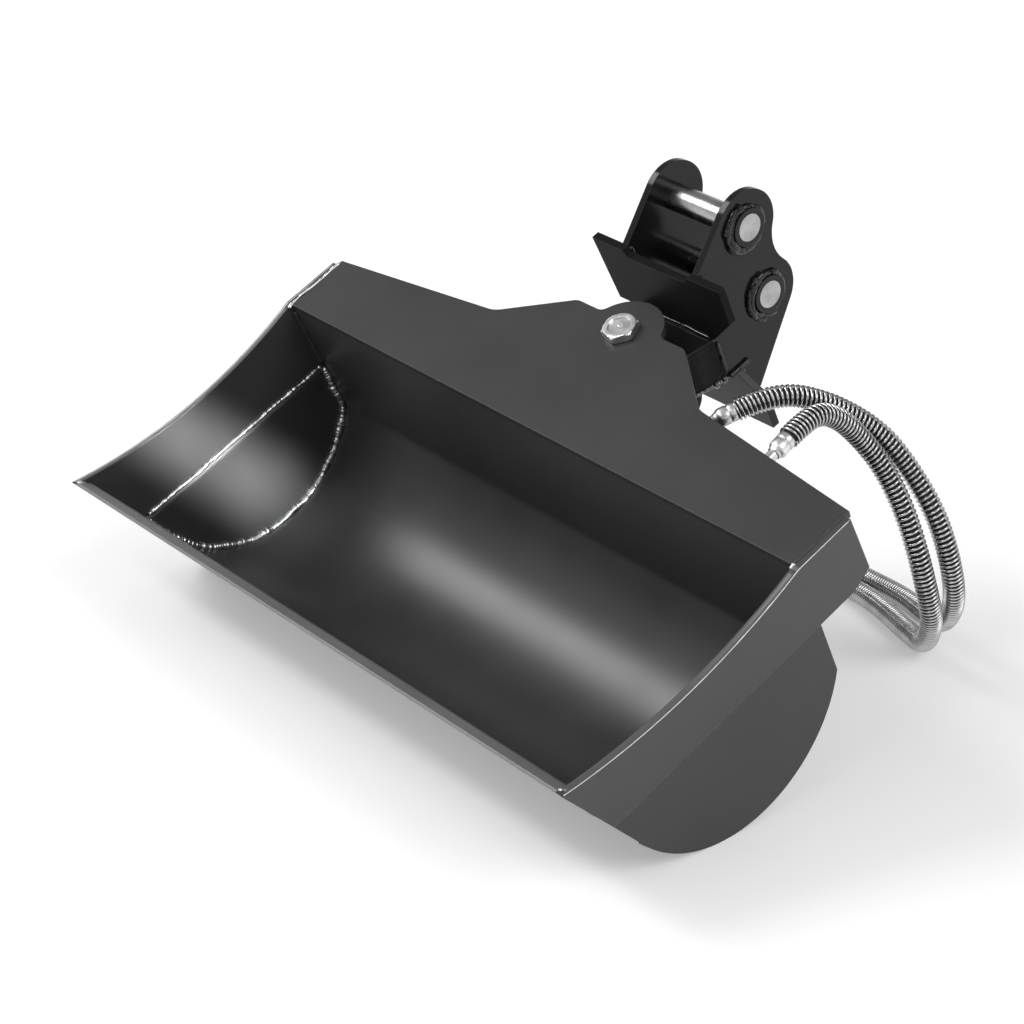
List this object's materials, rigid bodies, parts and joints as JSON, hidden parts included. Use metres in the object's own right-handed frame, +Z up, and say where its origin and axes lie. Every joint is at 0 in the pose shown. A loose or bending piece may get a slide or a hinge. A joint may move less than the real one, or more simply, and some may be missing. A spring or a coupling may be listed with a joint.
{
  "type": "tilting excavator bucket",
  "caption": "Hydraulic tilting grading bucket for a mini excavator, with a two-pin hanger, a tilt cylinder and two spring-guarded hoses.",
  "frame": {"origin": "middle of the bucket's footprint on the floor, without the hoses", "axes": "+X across the bucket to its right end, +Y from the cutting edge to the hanger, +Z up"},
  "size_m": [0.8004, 0.6906, 0.4806],
  "materials": {
    "bucket_paint": "satin",
    "edge_paint": "satin",
    "hanger_paint": "gloss",
    "wing_paint": "gloss",
    "steel": "brushed",
    "zinc": "zinc plated",
    "chrome": "polished",
    "bronze": "machined",
    "seal": "matte",
    "hose_guard": "spring wire"
  },
  "bodies": {
    "bucket": {"shell": "bucket_paint", "cutting_edge": "edge_paint", "end_plate_right": "bucket_paint", "end_plate_left": "bucket_paint", "side_strip_right": "bucket_paint", "side_strip_left": "bucket_paint", "lid_pivot_plate": "bucket_paint", "rear_pivot_plate": "bucket_paint", "tilt_pin": "steel", "tilt_pin_nut": "zinc", "base_lugs": "bucket_paint", "base_pin": "steel", "barrel": "hanger_paint", "gland": "hanger_paint", "rod_wiper": "seal", "hose_pipe_rear": "zinc", "hose_rear": "hose_guard", "hose_ferrules_rear": "zinc", "hose_nut_rear": "zinc", "hose_pipe_front": "zinc", "hose_front": "hose_guard", "hose_ferrules_front": "zinc", "hose_nut_front": "zinc"},
    "hanger": {"pivot_tube": "hanger_paint", "tilt_bushes": "bronze", "tongue_top": "hanger_paint", "tongue_bottom": "hanger_paint", "tongue_sides": "hanger_paint", "upper_wing": "wing_paint", "lower_wing": "hanger_paint", "ear_right": "hanger_paint", "ear_left": "hanger_paint", "pin_bosses_right": "hanger_paint", "pin_bosses_left": "hanger_paint", "upper_pin": "steel", "lower_pin": "steel", "pin_lock_bolts": "zinc", "lever_pin": "steel"},
    "rod": {"rod_eye": "hanger_paint", "rod": "chrome", "piston": "steel", "piston_seals": "seal"}
  },
  "joints": [
    {"name": "hanger_tilt", "type": "hinge", "parent": "bucket", "child": "hanger", "pos_m": [0, 0.11922, 0.33638], "axis": [0, -0.4067, 0.9135], "range_deg": [-35, 35]},
    {"name": "rod_slide", "type": "slide", "parent": "bucket", "child": "rod", "axis": [1, 0, 0], "range_m": [-0.041, 0.041]}
  ],
  "couplings": [
    {"joint": "rod_slide", "follows": "hanger_tilt", "m_per_rad": 0.0666}
  ]
}
